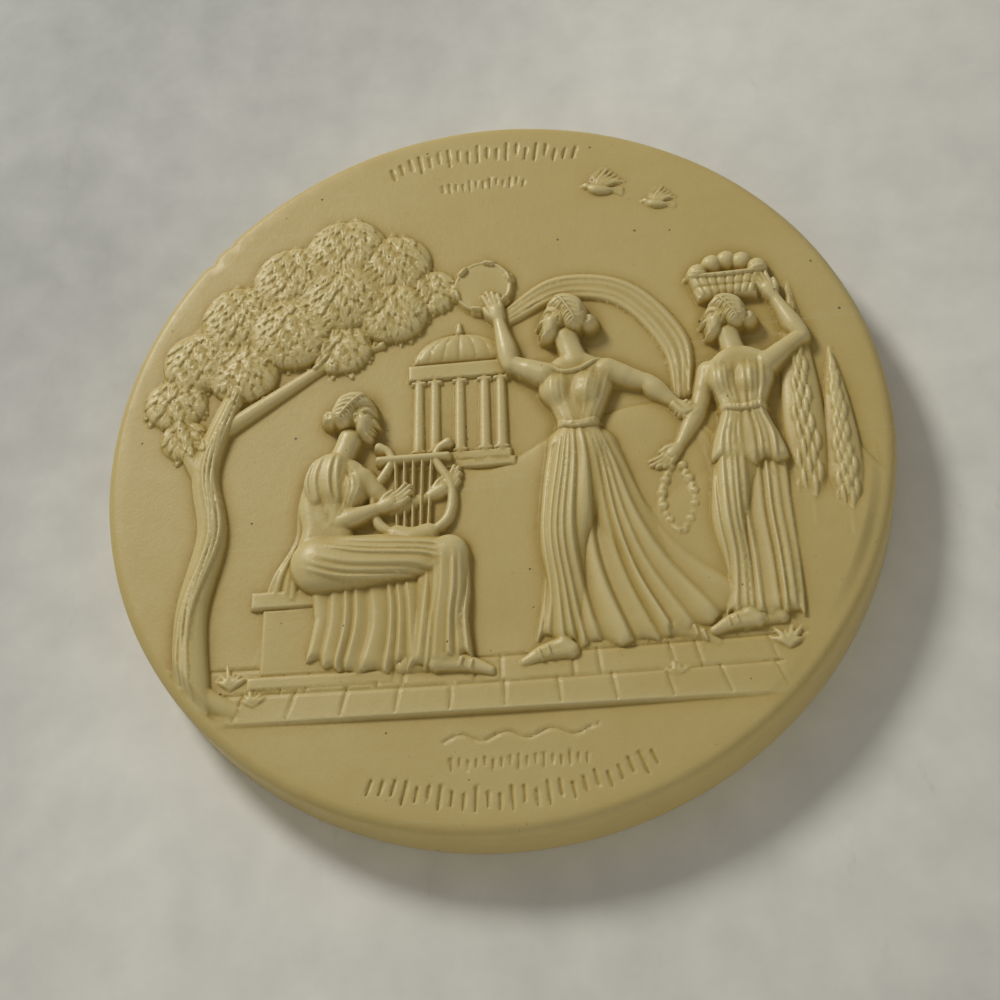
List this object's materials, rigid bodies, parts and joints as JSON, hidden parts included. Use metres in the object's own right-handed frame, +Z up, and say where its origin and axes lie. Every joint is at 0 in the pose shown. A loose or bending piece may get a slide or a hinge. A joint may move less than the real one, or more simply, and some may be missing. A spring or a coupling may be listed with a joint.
{
  "type": "relief plaque",
  "caption": "Round cream cast wall plaque with a garden scene of robed figures in relief, a rounded rim, a flat back and a hanging pocket.",
  "frame": {"origin": "centre of the flat back, which lies against the wall", "axes": "+Y out of the back into the wall, so the relief faces -Y; +Z up as the plaque hangs; +X to the right for a viewer of the relief"},
  "size_m": [0.216, 0.022, 0.216],
  "materials": {
    "cast_stone": "cream cast alabaster composite, waxed, with a darker patina in its recesses"
  },
  "bodies": {
    "root": {"relief_plaque": "cast_stone"}
  },
  "joints": []
}
